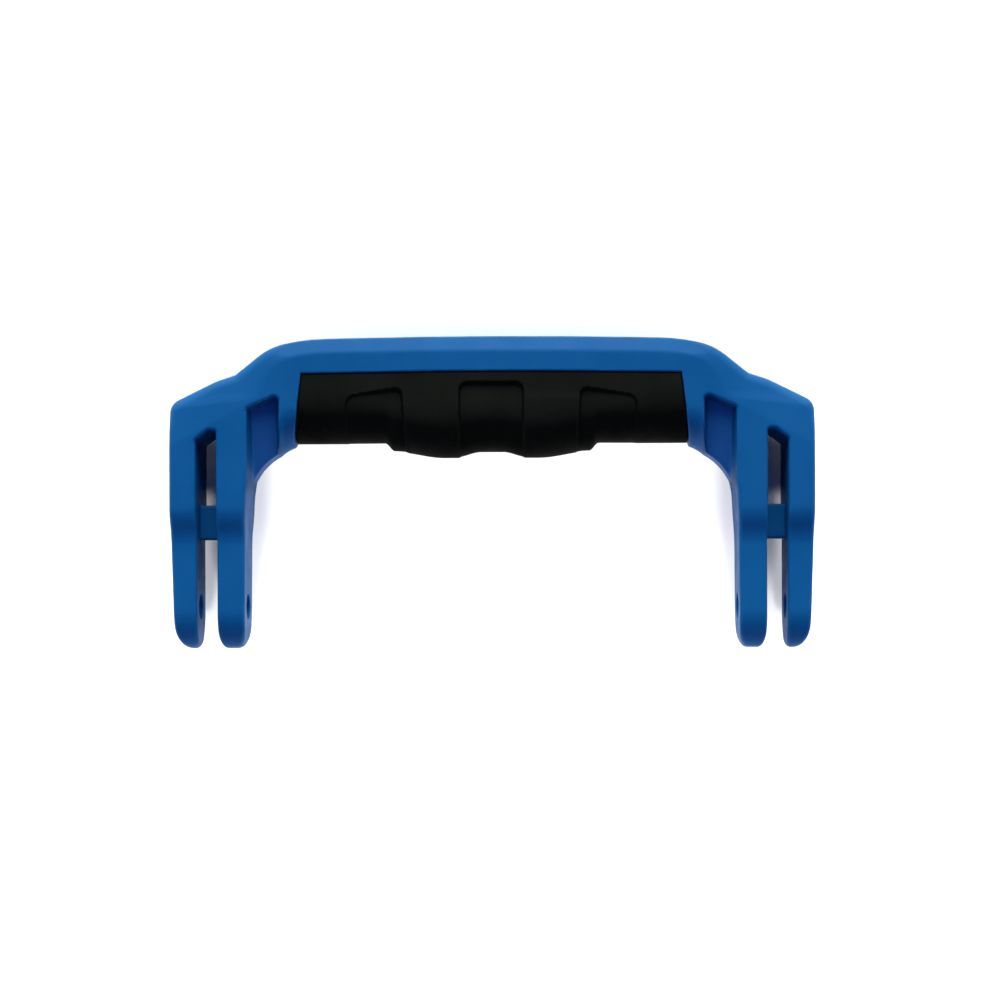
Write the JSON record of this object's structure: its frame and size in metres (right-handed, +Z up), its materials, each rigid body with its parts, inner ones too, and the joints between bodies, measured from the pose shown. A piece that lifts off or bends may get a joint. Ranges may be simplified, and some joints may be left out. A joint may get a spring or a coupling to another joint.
{
  "type": "case carry handle",
  "caption": "U-shaped moulded carry handle for a hard case: spine with a soft overmoulded finger grip and two forked legs with cross bores for hinge pins.",
  "frame": {"origin": "under the middle of the handle's box, on the surface that its flat back lies on", "axes": "+X along the grip, +Y from the hinge ears towards the grip, +Z up out of the front face"},
  "size_m": [0.2, 0.097, 0.024],
  "materials": {
    "frame_plastic": "fine moulded texture, satin, mid blue",
    "grip_rubber": "matt black soft-touch elastomer"
  },
  "bodies": {
    "root": {"handle_frame": "frame_plastic", "grip_overmould": "grip_rubber"}
  },
  "joints": []
}
